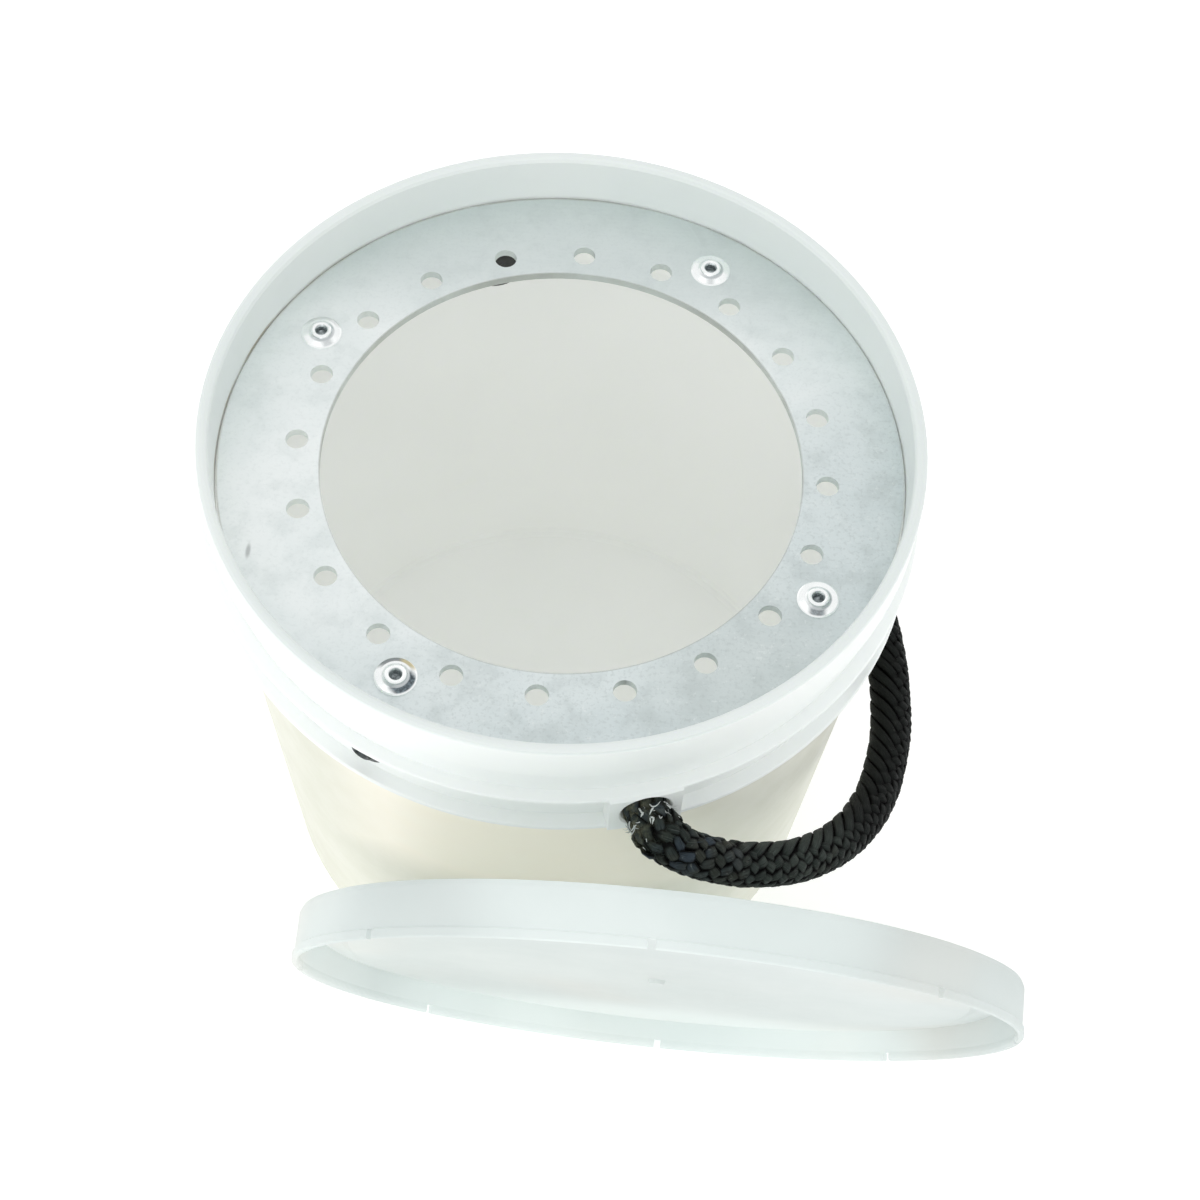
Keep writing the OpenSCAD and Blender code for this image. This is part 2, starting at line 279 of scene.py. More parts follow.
def fray_fibres():
    """Loose worn fibres on the rope where it leaves the front hole, and a few along it."""
    r = np.random.default_rng(21)
    t = path_frames(ring_path)
    verts, faces, uvs, height = [], [], [], []
    plan = [(r.uniform(12.8, 24) if r.random() < 0.8 else r.uniform(22, 38), 1) for _ in range(560)]
    plan += [(r.uniform(30, rope_length - 20), 0) for _ in range(260)]
    for s0, worn in plan:
        i = int(np.clip(s0 / 1.25, 1, len(ring_path) - 2))
        c = ring_path[i]
        tt = t[i]
        inn = np.array([-tt[1], tt[0]])
        a = r.uniform(0, 2 * math.pi)
        out = np.array([math.cos(a) * inn[0], math.cos(a) * inn[1], math.sin(a)])
        along = np.array([tt[0], tt[1], 0])
        around = np.cross(along, out)
        root = np.array([c[0], c[1], 0]) + out * r.uniform(6.5, 7.2)
        lean = r.normal(0, 1)
        d = along * r.choice([-1, 1]) * r.uniform(0.5, 1.2) + around * lean * 0.8 + out * (r.uniform(0.0, 0.30) if worn else 0.06)
        if worn and s0 < 17:
            d = along * r.uniform(0.3, 1.0) + around * lean * 0.8 + out * r.uniform(0.1, 0.5)
        d /= np.linalg.norm(d)
        length = r.uniform(1.4, 3.6) if worn else r.uniform(0.8, 2.2)
        thick = r.uniform(0.10, 0.24) if worn else r.uniform(0.05, 0.09)
        pale = worn and s0 < 25 and r.random() < (0.26 if s0 < 17.5 else 0.03)
        if pale:
            thick, length = r.uniform(0.20, 0.42), r.uniform(1.8, 5.0)
        curl = r.normal(0, 0.75 if pale else 0.35, 3)
        n = 5
        p = root.copy()
        pts = [p.copy()]
        for k in range(n - 1):
            dd = d + curl * k * 0.35 - out * 0.16 * k
            dd /= np.linalg.norm(dd)
            p = p + dd * length / (n - 1)
            pts.append(p.copy())
        pts = np.array(pts)
        base = len(verts)
        for k in range(n):
            dk = pts[min(k + 1, n - 1)] - pts[max(k - 1, 0)]
            dk /= np.linalg.norm(dk)
            e1 = np.cross(dk, out)
            e1 /= max(np.linalg.norm(e1), 1e-6)
            e2 = np.cross(dk, e1)
            rr = thick * (1 - 0.8 * (k / (n - 1)) ** 1.5)
            for j in range(4):
                b = j * math.pi / 2
                verts.append(on_handle(pts[k] + rr * (math.cos(b) * e1 + math.sin(b) * e2)))
                height.append(0.75)
        u = 70.0 if pale else 60.0
        v = s0 / 1000
        for k in range(n - 1):
            for j in range(4):
                j2 = (j + 1) % 4
                faces.append((base + k * 4 + j, base + (k + 1) * 4 + j, base + (k + 1) * 4 + j2, base + k * 4 + j2))
                uvs += [(u + 0.1, v)] * 4
        faces.append((base, base + 1, base + 2, base + 3))
        faces.append((base + (n - 1) * 4 + 3, base + (n - 1) * 4 + 2, base + (n - 1) * 4 + 1, base + (n - 1) * 4))
        uvs += [(u + 0.1, v)] * 8
    ob = add_mesh("rope_fray", verts, faces, uvs=uvs, height=height)
    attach(ob, "handle")
    return ob


fray = fray_fibres()


# ---------------------------------------------------------------- material helpers
class Graph:
    """Small helper to lay out a node material."""

    def __init__(self, name):
        self.mat = bpy.data.materials.new(name)
        self.mat.use_nodes = True
        self.nt = self.mat.node_tree
        self.nt.nodes.clear()
        self.out = self.nt.nodes.new("ShaderNodeOutputMaterial")
        self.x = 0

    def node(self, kind, **props):
        n = self.nt.nodes.new(kind)
        n.location = (self.x, 0)
        self.x -= 60
        for k, v in props.items():
            setattr(n, k, v)
        return n

    def link(self, a, b):
        self.nt.links.new(a, b)

    def put(self, sock, value):
        """value is a socket or a constant."""
        if isinstance(value, bpy.types.NodeSocket):
            self.link(value, sock)
        elif isinstance(value, (tuple, list)) and len(value) == 3 and sock.type == "RGBA":
            sock.default_value = (*value, 1)
        else:
            sock.default_value = value

    def coords(self, kind="Object"):
        return self.node("ShaderNodeTexCoord").outputs[kind]

    def mapping(self, vec, scale=(1, 1, 1), loc=(0, 0, 0), rot=(0, 0, 0)):
        m = self.node("ShaderNodeMapping")
        self.link(vec, m.inputs["Vector"])
        m.inputs["Scale"].default_value = scale
        m.inputs["Location"].default_value = loc
        m.inputs["Rotation"].default_value = rot
        return m.outputs[0]

    def noise(self, vec, scale, detail=3.0, rough=0.55, distortion=0.0):
        n = self.node("ShaderNodeTexNoise")
        self.link(vec, n.inputs["Vector"])
        n.inputs["Scale"].default_value = scale
        n.inputs["Detail"].default_value = detail
        n.inputs["Roughness"].default_value = rough
        n.inputs["Distortion"].default_value = distortion
        return n.outputs["Fac"]

    def voronoi(self, vec, scale, feature="F1", out="Distance", randomness=1.0):
        n = self.node("ShaderNodeTexVoronoi", feature=feature)
        self.link(vec, n.inputs["Vector"])
        n.inputs["Scale"].default_value = scale
        n.inputs["Randomness"].default_value = randomness
        return n.outputs[out]

    def ramp(self, fac, stops, interp="LINEAR"):
        r = self.node("ShaderNodeValToRGB")
        self.link(fac, r.inputs["Fac"])
        cr = r.color_ramp
        cr.interpolation = interp
        while len(cr.elements) < len(stops):
            cr.elements.new(0.5)
        for el, (pos, col) in zip(cr.elements, stops):
            el.position = pos
            el.color = (*col, 1) if isinstance(col, (tuple, list)) else (col, col, col, 1)
        return r.outputs["Color"]

    def math(self, op, a, b=None, c=None, clamp=False):
        m = self.node("ShaderNodeMath", operation=op, use_clamp=clamp)
        for i, v in enumerate((a, b, c)):
            if v is not None:
                self.put(m.inputs[i], v)
        return m.outputs[0]

    def range(self, v, lo, hi, a=0.0, b=1.0, smooth=True):
        m = self.node("ShaderNodeMapRange", interpolation_type="SMOOTHSTEP" if smooth else "LINEAR")
        self.put(m.inputs["Value"], v)
        m.inputs["From Min"].default_value = lo
        m.inputs["From Max"].default_value = hi
        m.inputs["To Min"].default_value = a
        m.inputs["To Max"].default_value = b
        return m.outputs[0]

    def mix(self, fac, a, b, blend="MIX"):
        m = self.node("ShaderNodeMix", data_type="RGBA", blend_type=blend)
        self.put(m.inputs[0], fac)
        self.put(m.inputs[6], a)
        self.put(m.inputs[7], b)
        return m.outputs[2]

    def xyz(self, vec):
        s = self.node("ShaderNodeSeparateXYZ")
        self.link(vec, s.inputs[0])
        return s.outputs[0], s.outputs[1], s.outputs[2]

    def combine(self, x, y, z):
        c = self.node("ShaderNodeCombineXYZ")
        for i, v in enumerate((x, y, z)):
            self.put(c.inputs[i], v)
        return c.outputs[0]

    def bump(self, height, strength, distance, normal=None):
        b = self.node("ShaderNodeBump")
        self.link(height, b.inputs["Height"])
        b.inputs["Strength"].default_value = strength
        b.inputs["Distance"].default_value = distance
        if normal is not None:
            self.link(normal, b.inputs["Normal"])
        return b.outputs[0]

    def principled(self, **kw):
        p = self.node("ShaderNodeBsdfPrincipled")
        for k, v in kw.items():
            self.put(p.inputs[k.replace("_", " ")], v)
        return p

    def done(self, shader):
        self.link(shader, self.out.inputs["Surface"])
        return self.mat


def radius_of(g, x, y):
    return g.math("SQRT", g.math("ADD", g.math("MULTIPLY", x, x), g.math("MULTIPLY", y, y)))


# ---------------------------------------------------------------- materials
def pail_material():
    g = Graph("pail_plastic")
    oc = g.coords()
    x, y, z = g.xyz(oc)
    r = radius_of(g, x, y)
    cloud = g.noise(oc, 14, 3, 0.5)
    fine = g.noise(oc, 90, 3, 0.6)
    # cool white at the mouth; creamier and darker down the wall, painted shade under the rim
    low = g.range(z, 0.1825, 0.1805, 0, 1)
    mouth = g.mix(g.range(cloud, 0.35, 0.7), (0.880, 0.910, 0.898), (0.905, 0.925, 0.912))
    body = g.mix(g.range(cloud, 0.3, 0.7), (0.870, 0.825, 0.715), (0.900, 0.855, 0.750))
    # painted shade: the mouth's top and inner face are a little darker, and get no glow
    rim_in = g.math("MAXIMUM", g.math("MULTIPLY", g.range(z, 0.2125, 0.2135, 0, 1), g.range(r, 0.1178, 0.1168, 0, 1)),
                    g.range(z, 0.2312, 0.2324, 0, 1))
    mouth = g.mix(rim_in, mouth, g.mix(g.range(cloud, 0.35, 0.7), (0.765, 0.815, 0.800), (0.800, 0.842, 0.826)))
    # painted shade: darker, and glowing less, on the sides, the back and the foot, where the wall stands open to the
    # light
    painted_wall_shade = g.math("MAXIMUM", g.range(x, 0.010, 0.085, 0, 1), g.range(x, -0.040, -0.080, 0, 1))
    painted_wall_shade = g.math("MAXIMUM", painted_wall_shade, g.range(y, -0.030, 0.040, 0, 1))
    painted_wall_shade = g.math("MAXIMUM", painted_wall_shade, g.range(z, 0.135, 0.080, 0, 1))
    body = g.mix(painted_wall_shade, body, g.mix(g.range(cloud, 0.3, 0.7), (0.650, 0.658, 0.560), (0.685, 0.692, 0.600)))
    col = g.mix(low, mouth, body)
    # the inner face is a little greyer than the mouth: painted shade
    inside = g.math("MULTIPLY", g.range(z, 0.2095, 0.2085, 0, 1),
                    g.range(g.math("SUBTRACT", r, g.math("MULTIPLY", z, 0.066667)), 0.1029, 0.1021, 0, 1))
    col = g.mix(inside, col, g.mix(g.range(cloud, 0.3, 0.7), (0.868, 0.880, 0.862), (0.892, 0.902, 0.885)))
    # dirt line where the ring meets the wall
    near = g.math("MULTIPLY", g.range(g.math("ABSOLUTE", g.math("SUBTRACT", z, 0.2131)), 0.0011, 0.0002, 0, 1),
                  g.range(r, 0.1175, 0.1165, 0, 1))
    # brown at the left, where it collects, thin and grey elsewhere
    left = g.math("MULTIPLY", g.range(x, -0.080, -0.106, 0, 1), g.range(y, -0.055, -0.020, 0, 1))
    dirt = g.math("MULTIPLY", near, g.range(g.noise(oc, 26, 2, 0.5), 0.42, 0.62, 0.10, 0.85))
    dirt = g.math("MULTIPLY", dirt, g.range(left, 0, 1, 0.35, 1.0))
    col = g.mix(dirt, col, g.mix(left, (0.40, 0.43, 0.41), (0.36, 0.29, 0.19)))
    # faint rubbed smudges
    smudge = g.range(g.noise(g.mapping(oc, (1, 1, 2.4)), 30, 4, 0.65), 0.58, 0.78, 0, 0.10)
    col = g.mix(smudge, col, (0.70, 0.73, 0.68))
    rough = g.range(fine, 0.3, 0.75, 0.34, 0.50)
    peel = g.noise(oc, 420, 2, 0.5)
    wave = g.noise(oc, 24, 2, 0.4)
    h = g.math("ADD", g.math("MULTIPLY", peel, 0.35), g.math("MULTIPLY", wave, 2.2))
    nrm = g.bump(h, 0.30, 0.0005)
    p = g.principled(Base_Color=col, Roughness=rough, Normal=nrm)
    p.inputs["Subsurface Weight"].default_value = 0.12
    p.inputs["Subsurface Radius"].default_value = (0.6, 0.65, 0.5)
    p.inputs["Subsurface Scale"].default_value = 0.004
    p.inputs["Specular IOR Level"].default_value = 0.36
    # painted glow: the inside glows softly, the mouth band faintly, and the outer wall below the rim in cream, less on
    # the sides, the back and the foot
    under = g.math("MULTIPLY", low, g.math("SUBTRACT", 1.0, inside))
    g.put(p.inputs["Emission Color"], g.mix(under, g.mix(g.range(cloud, 0.3, 0.7), (0.92, 0.93, 0.89), (0.97, 0.98, 0.94)),
                                            (1.0, 0.965, 0.835)))
    glow = g.math("ADD", g.math("MULTIPLY", inside, 0.125),
                  g.math("MULTIPLY", g.range(low, 0, 1, 0.045, 0.0), g.range(rim_in, 0, 1, 1.0, 0.0)))
    g.put(p.inputs["Emission Strength"],
          g.math("ADD", glow, g.math("MULTIPLY", under, g.range(painted_wall_shade, 0, 1, 0.135, 0.05))))
    return g.done(p.outputs[0])


def lid_material():
    g = Graph("lid_plastic")
    oc = g.coords()
    cloud = g.noise(oc, 14, 3, 0.5)
    col = g.mix(g.range(cloud, 0.35, 0.7), (0.735, 0.775, 0.765), (0.770, 0.805, 0.795))
    warm = g.noise(g.mapping(oc, (1, 1, 1), loc=(5, 2, 1)), 9, 2, 0.5)
    col = g.mix(g.range(warm, 0.52, 0.72, 0, 0.6), col, (0.790, 0.785, 0.755))
    rough = g.range(g.noise(oc, 120, 3, 0.6), 0.3, 0.75, 0.30, 0.44)
    wave = g.noise(oc, 22, 2, 0.45)
    peel = g.noise(oc, 380, 2, 0.5)
    h = g.math("ADD", g.math("MULTIPLY", peel, 0.3), g.math("MULTIPLY", wave, 3.0))
    nrm = g.bump(h, 0.30, 0.0005)
    p = g.principled(Base_Color=col, Roughness=rough, Normal=nrm, Emission_Color=col)
    # painted glow: the whole lid glows faintly, more towards its lower and upper edges and its left end
    lx, ly, lz = g.xyz(oc)
    edge = g.math("MAXIMUM", g.range(lz, 0.070, 0.026, 0, 1), g.range(lz, 0.216, 0.232, 0, 0.7))
    edge = g.math("MAXIMUM", edge, g.range(lx, -0.040, -0.066, 0, 0.45))
    g.put(p.inputs["Emission Strength"], g.range(edge, 0, 1, 0.13, 0.36, smooth=False))
    p.inputs["Specular IOR Level"].default_value = 0.42
    tr = g.node("ShaderNodeBsdfTranslucent")
    g.put(tr.inputs["Color"], col)
    g.link(nrm, tr.inputs["Normal"])
    mixer = g.node("ShaderNodeMixShader")
    mixer.inputs[0].default_value = 0.46
    g.link(p.outputs[0], mixer.inputs[1])
    g.link(tr.outputs[0], mixer.inputs[2])
    return g.done(mixer.outputs[0])


def ring_material():
    g = Graph("ring_aluminium")
    oc = g.coords()
    x, y, z = g.xyz(oc)
    r = radius_of(g, x, y)
    big = g.noise(oc, 16, 4, 0.6, 0.4)
    mid = g.noise(oc, 70, 5, 0.65)
    sand = g.noise(oc, 760, 3, 0.65)
    grain = g.noise(g.mapping(oc, (30, 900, 1), rot=(0, 0, 0.5)), 1.0, 2, 0.5)
    # paler at the left, painted light; greyer and more mottled towards the front right, partly painted shade and partly
    # real mottling; darker towards the back
    grey = g.range(g.math("SUBTRACT", g.math("MULTIPLY", x, 0.8), y), -0.010, 0.110, 0, 1)
    pale_tone = g.mix(g.range(big, 0.36, 0.66), (0.820, 0.870, 0.862), (0.900, 0.935, 0.925))
    back = g.range(y, 0.045, 0.085, 0, 0.75)
    pale_tone = g.mix(back, pale_tone, (0.640, 0.700, 0.690))
    grey_tone = g.mix(g.range(big, 0.36, 0.66), (0.655, 0.722, 0.725), (0.725, 0.785, 0.782))
    col = g.mix(grey, pale_tone, grey_tone)
    fx, fy = g.math("SUBTRACT", x, 0.066), g.math("ADD", y, 0.078)
    worn = g.range(g.math("SQRT", g.math("ADD", g.math("MULTIPLY", fx, fx), g.math("MULTIPLY", fy, fy))), 0.050, 0.012, 0, 0.45)
    col = g.mix(worn, col, (0.530, 0.585, 0.570))
    mott = g.math("MULTIPLY", g.range(mid, 0.46, 0.66, 0, 1), g.range(grey, 0, 1, 0.15, 0.38))
    col = g.mix(mott, col, (0.540, 0.590, 0.583))
    sandy = g.math("MULTIPLY", g.range(sand, 0.50, 0.66, 0, 1), g.range(grey, 0, 1, 0.10, 0.34))
    col = g.mix(sandy, col, (0.480, 0.530, 0.525))
    flecks = g.math("MULTIPLY", g.range(g.noise(g.mapping(oc, (1, 1, 1), loc=(2, 7, 1)), 420, 4, 0.7), 0.58, 0.70, 0, 1),
                    g.range(grey, 0, 1, 0.10, 0.45))
    col = g.mix(flecks, col, (0.820, 0.860, 0.850))
    col = g.mix(g.range(grain, 0.35, 0.7, 0, 0.08), col, (0.82, 0.86, 0.85))
    # short handling scratches: dashes in scattered cells
    where = g.mapping(oc, (1, 0.30, 1), rot=(0, 0, 0.7))
    cell = g.voronoi(where, 60, "F1", "Distance")
    px, py, pz = g.xyz(g.voronoi(where, 60, "F1", "Color"))
    dash = g.math("MULTIPLY", g.range(cell, 0.07, 0.02, 0, 1), g.range(px, 0.82, 0.85, 0, 1))
    col = g.mix(g.math("MULTIPLY", dash, 0.55), col, (0.26, 0.28, 0.28))
    where2 = g.mapping(oc, (0.26, 1, 1), rot=(0, 0, -0.35), loc=(4, 2, 0))
    cell2 = g.voronoi(where2, 75, "F1", "Distance")
    qx, qy, qz = g.xyz(g.voronoi(where2, 75, "F1", "Color"))
    dash2 = g.math("MULTIPLY", g.range(cell2, 0.06, 0.02, 0, 1), g.range(qx, 0.86, 0.88, 0, 1))
    col = g.mix(g.math("MULTIPLY", dash2, 0.45), col, (0.90, 0.93, 0.92))
    rub = g.range(g.noise(g.mapping(oc, (1, 1, 1), loc=(3, 1, 0)), 34, 6, 0.72, 0.8), 0.60, 0.76, 0, 0.20)
    col = g.mix(rub, col, (0.50, 0.54, 0.53))
    edge = g.math("MULTIPLY", g.range(r, 0.1142, 0.1149, 0, 1), g.range(big, 0.40, 0.60, 0.1, 0.5))
    col = g.mix(edge, col, (0.42, 0.40, 0.34))
    # painted shade along the opening's inner edge
    lip = g.math("MULTIPLY", g.range(r, 0.0814, 0.0809, 0, 1), g.range(big, 0.40, 0.60, 0.15, 0.55))
    col = g.mix(lip, col, (0.40, 0.41, 0.38))
    rough = g.math("ADD", g.range(mid, 0.3, 0.75, 0.44, 0.60), g.math("MULTIPLY", rub, 0.3))
    h = g.math("ADD", g.math("ADD", g.math("MULTIPLY", g.noise(oc, 12, 2, 0.4), 2.5), g.math("MULTIPLY", sand, 0.12)),
               g.math("SUBTRACT", g.math("MULTIPLY", grain, 0.08), g.math("MULTIPLY", dash, 0.5)))
    nrm = g.bump(h, 0.25, 0.0005)
    p = g.principled(Base_Color=col, Roughness=rough, Normal=nrm)
    p.inputs["Metallic"].default_value = 0.85
    return g.done(p.outputs[0])


def metal_material(name, lo, hi, r_lo, r_hi, scale, bump=0.15, metallic=1.0):
    g = Graph(name)
    oc = g.coords()
    a = g.noise(oc, scale, 4, 0.6)
    b = g.noise(oc, scale * 7, 3, 0.6)
    col = g.mix(g.range(a, 0.32, 0.7), lo, hi)
    rough = g.range(b, 0.3, 0.72, r_lo, r_hi)
    h = g.math("ADD", a, g.math("MULTIPLY", b, 0.25))
    nrm = g.bump(h, bump, 0.0003)
    p = g.principled(Base_Color=col, Roughness=rough, Normal=nrm)
    p.inputs["Metallic"].default_value = metallic
    return g.done(p.outputs[0])


def rivet_material():
    """Polished rivet heads, with painted shade in the set recess in the middle and round the foot of the dome, painted
    dark reflections on the flanges and a faint painted glow.
    """
    g = Graph("rivet_aluminium")
    oc = g.coords()
    x, y, z = g.xyz(oc)
    near, lean, up, cres, arc = None, None, None, None, None
    # direction, half width and strength of the painted dark reflection; strength of the painted dark arc opposite
    marks = ((272, 0.0011, 0.40, 0.0), (300, 0.0016, 0.45, 0.25), (318, 0.0044, 0.95, 0.85), (268, 0.0024, 0.80, 0.0))
    for k in range(4):
        a = math.radians(61.9 + 90 * k)
        dx = g.math("SUBTRACT", x, 0.09815 * math.cos(a))
        dy = g.math("SUBTRACT", y, 0.09815 * math.sin(a))
        d = g.math("SQRT", g.math("ADD", g.math("MULTIPLY", dx, dx), g.math("MULTIPLY", dy, dy)))
        side = g.math("SUBTRACT", g.math("MULTIPLY", dx, 0.75), g.math("MULTIPLY", dy, 0.66))
        turn, wide, strong, over = marks[k]
        ux, uy = math.cos(math.radians(turn)), math.sin(math.radians(turn))
        along = g.math("ADD", g.math("MULTIPLY", dx, ux), g.math("MULTIPLY", dy, uy))
        across = g.math("ABSOLUTE", g.math("SUBTRACT", g.math("MULTIPLY", dy, ux), g.math("MULTIPLY", dx, uy)))
        mark = g.math("MULTIPLY", g.math("MULTIPLY", g.range(d, 0.0041, 0.0047, 0, 1), g.range(d, 0.0067, 0.0061, 0, 1)),
                      g.math("MULTIPLY", g.range(across, wide + 0.0014, wide - 0.0010, 0, strong),
                             g.range(along, 0.0006, 0.0024, 0, 1)))
        bow = g.math("MULTIPLY", g.math("MULTIPLY", g.range(d, 0.0051, 0.0056, 0, 1), g.range(d, 0.0070, 0.0066, 0, 1)),
                     g.range(dy, 0.0018, 0.0044, 0, over))
        cres = mark if cres is None else g.math("MAXIMUM", cres, mark)
        arc = bow if arc is None else g.math("MAXIMUM", arc, bow)
        if near is None:
            near, lean, up = d, side, dy
        else:
            closer = g.math("LESS_THAN", d, near)
            further = g.math("SUBTRACT", 1.0, closer)
            lean = g.math("ADD", g.math("MULTIPLY", side, closer), g.math("MULTIPLY", lean, further))
            up = g.math("ADD", g.math("MULTIPLY", dy, closer), g.math("MULTIPLY", up, further))
            near = g.math("MINIMUM", near, d)
    a = g.noise(oc, 300, 4, 0.6)
    b = g.noise(oc, 1500, 3, 0.6)
    col = g.mix(g.range(a, 0.32, 0.7), (0.925, 0.950, 0.942), (0.965, 0.980, 0.972))
    # painted shade in the set recess and round the dome's foot, darker on one side
    recess = g.range(near, 0.00245, 0.00185, 0, 0.92)
    foot = g.math("MULTIPLY", g.math("MULTIPLY", g.range(near, 0.0034, 0.0037, 0, 1), g.range(near, 0.0048, 0.0041, 0, 1)),
                  g.range(lean, -0.0020, 0.0022, 0.12, 0.55))
    # painted dark reflections, then the painted dark arc, partly brown on the front-left rivet
    col = g.mix(cres, col, g.mix(g.range(b, 0.42, 0.60), (0.026, 0.040, 0.050), (0.120, 0.160, 0.180)))
    col = g.mix(arc, col, g.mix(g.range(x, -0.0462, -0.0440), (0.15, 0.17, 0.175), (0.50, 0.43, 0.22)))
    col = g.mix(foot, col, (0.20, 0.24, 0.26))
    col = g.mix(recess, col, g.mix(g.range(b, 0.4, 0.6), (0.190, 0.225, 0.230), (0.400, 0.445, 0.450)))
    rough = g.range(b, 0.3, 0.72, 0.12, 0.26)
    h = g.math("ADD", a, g.math("MULTIPLY", b, 0.25))
    p = g.principled(Base_Color=col, Roughness=rough, Normal=g.bump(h, 0.10, 0.0003), Emission_Color=col)
    p.inputs["Metallic"].default_value = 1.0
    # painted glow: the heads glow faintly
    p.inputs["Emission Strength"].default_value = 0.07
    return g.done(p.outputs[0])


def rope_material():
    g = Graph("rope_fibre")
    uv = g.coords("UV")
    oc = g.coords()
    u, v, w = g.xyz(uv)
    strand = g.math("FLOOR", u)
    high = g.node("ShaderNodeAttribute", attribute_name="height").outputs["Fac"]
    # fibres run along each strand
    fib = g.noise(g.combine(g.math("MULTIPLY", u, 46.0), g.math("MULTIPLY", v, 170.0), strand), 1.0, 3, 0.6)
    tone = g.noise(g.combine(g.math("MULTIPLY", strand, 3.7), g.math("MULTIPLY", v, 60.0), 0.0), 1.0, 2, 0.5)
    patch = g.noise(oc, 40, 3, 0.6)
    col = g.mix(g.range(tone, 0.34, 0.66), (0.0205, 0.0275, 0.0235), (0.0390, 0.0490, 0.0425))
    col = g.mix(g.range(patch, 0.54, 0.70, 0, 0.55), col, (0.048, 0.043, 0.032))
    # painted shade: the rope turns near-black from 80 to 125 mm along it onwards
    col = g.mix(g.range(v, 0.080, 0.125, 0, 0.86), col, (0.0030, 0.0037, 0.0034))
    # painted highlight: bluish sheen on the first 30 to 60 mm
    blue = g.math("MULTIPLY", g.range(v, 0.060, 0.030, 0, 1), g.range(tone, 0.46, 0.62, 0, 0.8))
    col = g.mix(blue, col, (0.040, 0.056, 0.078))
    # pale fibre streaks, fading along the rope with the painted shade
    col = g.mix(g.math("MULTIPLY", g.range(fib, 0.50, 0.72, 0, 0.55), g.range(v, 0.080, 0.125, 1.0, 0.16)), col,
                (0.095, 0.110, 0.106))
    col = g.mix(g.range(fib, 0.46, 0.34, 0, 0.70), col, (0.010, 0.012, 0.012))
    # painted shade: near-black where a strand sinks into the weave, at its edges and underside, and on the core
    col = g.mix(g.range(high, 0.28, 0.90, 1.0, 0.0), col, (0.0010, 0.0011, 0.0011))
    # worn, dirty stretch by the front hole
    ox, oy, oz = g.xyz(oc)
    worn = g.math("MULTIPLY", g.range(v, 0.030, 0.014, 0, 1), g.range(g.noise(oc, 260, 4, 0.65), 0.42, 0.60, 0, 0.85))
    worn = g.math("MULTIPLY", worn, g.range(ox, 0.040, 0.030, 0.12, 1.0))
    col = g.mix(worn, col, (0.145, 0.148, 0.100))
    dust = g.noise(oc, 620, 2, 0.5)
    dusty = g.math("MULTIPLY", g.range(dust, 0.66, 0.74, 0, 1), g.range(patch, 0.45, 0.75, 0.02, 0.25))
    col = g.mix(dusty, col, (0.30, 0.31, 0.29))
    pale = g.range(strand, 68.0, 69.0, 0, 1, smooth=False)
    col = g.mix(pale, col, g.mix(g.range(patch, 0.4, 0.6), (0.62, 0.66, 0.64), (0.80, 0.84, 0.82)))
    rough = g.range(fib, 0.35, 0.7, 0.46, 0.70)
    nrm = g.bump(fib, 0.8, 0.0006)
    p = g.principled(Base_Color=col, Roughness=rough, Normal=nrm)
    p.inputs["Specular IOR Level"].default_value = 0.08
    return g.done(p.outputs[0])


def melted_material():
    g = Graph("rope_melted_end")
    oc = g.coords()
    a = g.noise(oc, 110, 4, 0.6)
    b = g.noise(oc, 420, 3, 0.6)
    col = g.mix(g.range(a, 0.35, 0.7), (0.010, 0.011, 0.012), (0.026, 0.026, 0.025))
    rough = g.range(b, 0.3, 0.7, 0.22, 0.5)
    nrm = g.bump(g.math("ADD", a, g.math("MULTIPLY", b, 0.3)), 0.7, 0.0012)
    p = g.principled(Base_Color=col, Roughness=rough, Normal=nrm)
    return g.done(p.outputs[0])


def dress(node, mat):
    ob = nodes[node]
    ob.data.materials.clear()
    ob.data.materials.append(mat)


pail_mat, lid_mat, ring_mat = pail_material(), lid_material(), ring_material()
rivet_mat = rivet_material()
# painted shade and dark reflection: the wall rivets are coloured near-black for the shade they sit in and the dark they
# reflect
wall_rivet_mat = metal_material("wall_rivet_painted_dark", (0.020, 0.024, 0.026), (0.085, 0.095, 0.095), 0.34, 0.52, 330, 0.25)
mandrel_mat = metal_material("mandrel_steel", (0.085, 0.100, 0.104), (0.380, 0.420, 0.430), 0.30, 0.50, 700, 0.5)
bracket_mat = metal_material("bracket_zinc", (0.52, 0.54, 0.54), (0.66, 0.68, 0.67), 0.30, 0.46, 90, 0.2)
washer_mat = metal_material("washer_zinc", (0.55, 0.57, 0.57), (0.68, 0.70, 0.69), 0.28, 0.42, 110, 0.2)
rope_mat, melted_mat = rope_material(), melted_material()

dress("pail", pail_mat)
dress("lid", lid_mat)
dress("perforated_ring", ring_mat)
dress("ring_rivets", rivet_mat)
dress("wall_rivets", wall_rivet_mat)
for n in ("ring_rivet_mandrels", "wall_rivet_mandrels"):
    dress(n, mandrel_mat)
for n in ("bracket_front_left", "bracket_front_right", "bracket_back_left", "bracket_back_right"):
    dress(n, bracket_mat)
for n in ("rope_washer_front", "rope_washer_back"):
    dress(n, washer_mat)
for n in ("rope_end_front", "rope_end_back"):
    dress(n, melted_mat)
rope.data.materials.append(rope_mat)
fray.data.materials.append(rope_mat)


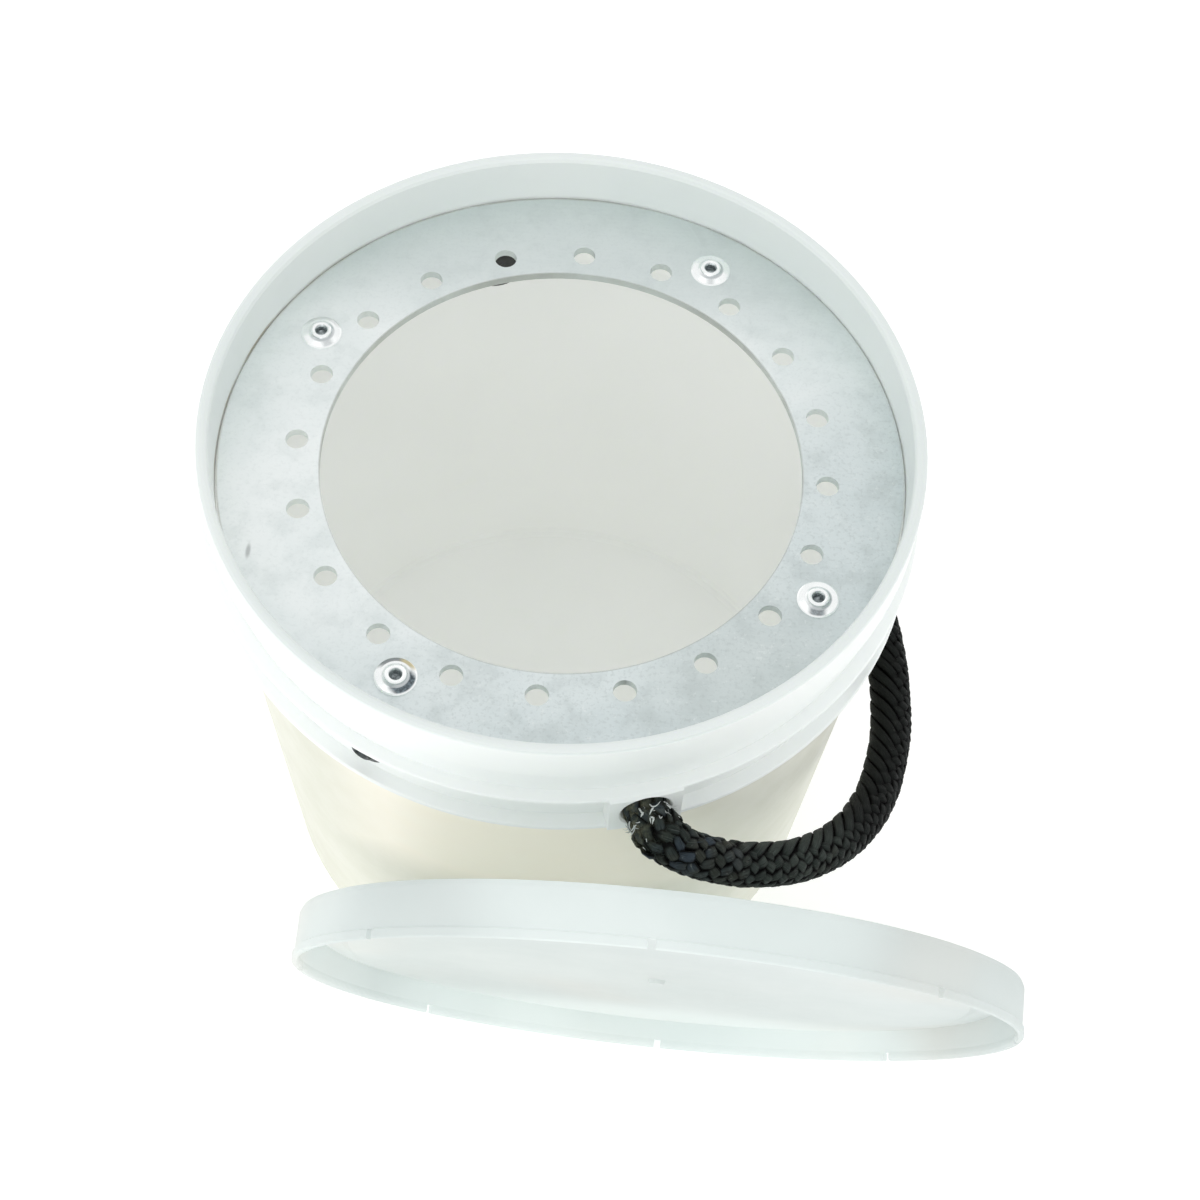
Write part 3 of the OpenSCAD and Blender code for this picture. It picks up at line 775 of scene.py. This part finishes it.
# ---------------------------------------------------------------- floor and light
def floor():
    s = 3.0
    ob = add_mesh("floor", [(-s, -s, -0.0002), (s, -s, -0.0002), (s, s, -0.0002), (-s, s, -0.0002)],
                  [(0, 1, 2, 3)], smooth=False)
    g = Graph("floor_white")
    oc = g.coords()
    n = g.noise(oc, 6, 2, 0.5)
    col = g.mix(g.range(n, 0.3, 0.7), (0.93, 0.93, 0.93), (0.95, 0.95, 0.95))
    p = g.principled(Base_Color=col)
    p.inputs["Roughness"].default_value = 0.9
    p.inputs["Specular IOR Level"].default_value = 0.0
    p.inputs["Emission Color"].default_value = (1, 1, 1, 1)
    p.inputs["Emission Strength"].default_value = 0.30
    ob.data.materials.append(g.done(p.outputs[0]))
    return ob


floor()

world = bpy.data.worlds.new("studio")
scene.world = world
world.use_nodes = True
wn = world.node_tree
wn.nodes.clear()
w_out = wn.nodes.new("ShaderNodeOutputWorld")
w_bg = wn.nodes.new("ShaderNodeBackground")
w_tc = wn.nodes.new("ShaderNodeTexCoord")
w_sep = wn.nodes.new("ShaderNodeSeparateXYZ")
w_rmp = wn.nodes.new("ShaderNodeValToRGB")
wn.links.new(w_tc.outputs["Generated"], w_sep.inputs[0])
wn.links.new(w_sep.outputs[2], w_rmp.inputs["Fac"])
wn.links.new(w_rmp.outputs["Color"], w_bg.inputs["Color"])
wn.links.new(w_bg.outputs[0], w_out.inputs["Surface"])
els = w_rmp.color_ramp.elements
els[0].position, els[0].color = 0.05, (1.0, 0.998, 0.995, 1)
els[1].position, els[1].color = 0.65, (0.740, 0.745, 0.750, 1)
w_bg.inputs["Strength"].default_value = 1.18


def area_light(name, loc, target, size, energy, colour=(1, 1, 1)):
    data = bpy.data.lights.new(name, "AREA")
    data.shape = "DISK"
    data.size = size
    data.energy = energy
    data.color = colour
    ob = bpy.data.objects.new(name, data)
    ob.location = loc
    ob.rotation_euler = (Vector(target) - Vector(loc)).to_track_quat("-Z", "Y").to_euler()
    scene.collection.objects.link(ob)
    return ob


area_light("key_soft", (-1.1, -1.0, 1.0), (0, 0, 0.15), 1.2, 1.4)
area_light("front_soft", (-0.3, -1.5, 0.8), (0, 0, 0.12), 1.2, 2.4)
area_light("top_soft", (0.0, 0.15, 1.7), (0, 0, 0.15), 1.2, 0.8)

scene.view_settings.view_transform = "Standard"
scene.view_settings.look = "None"
scene.view_settings.exposure = 0.0
scene.view_settings.gamma = 1.0
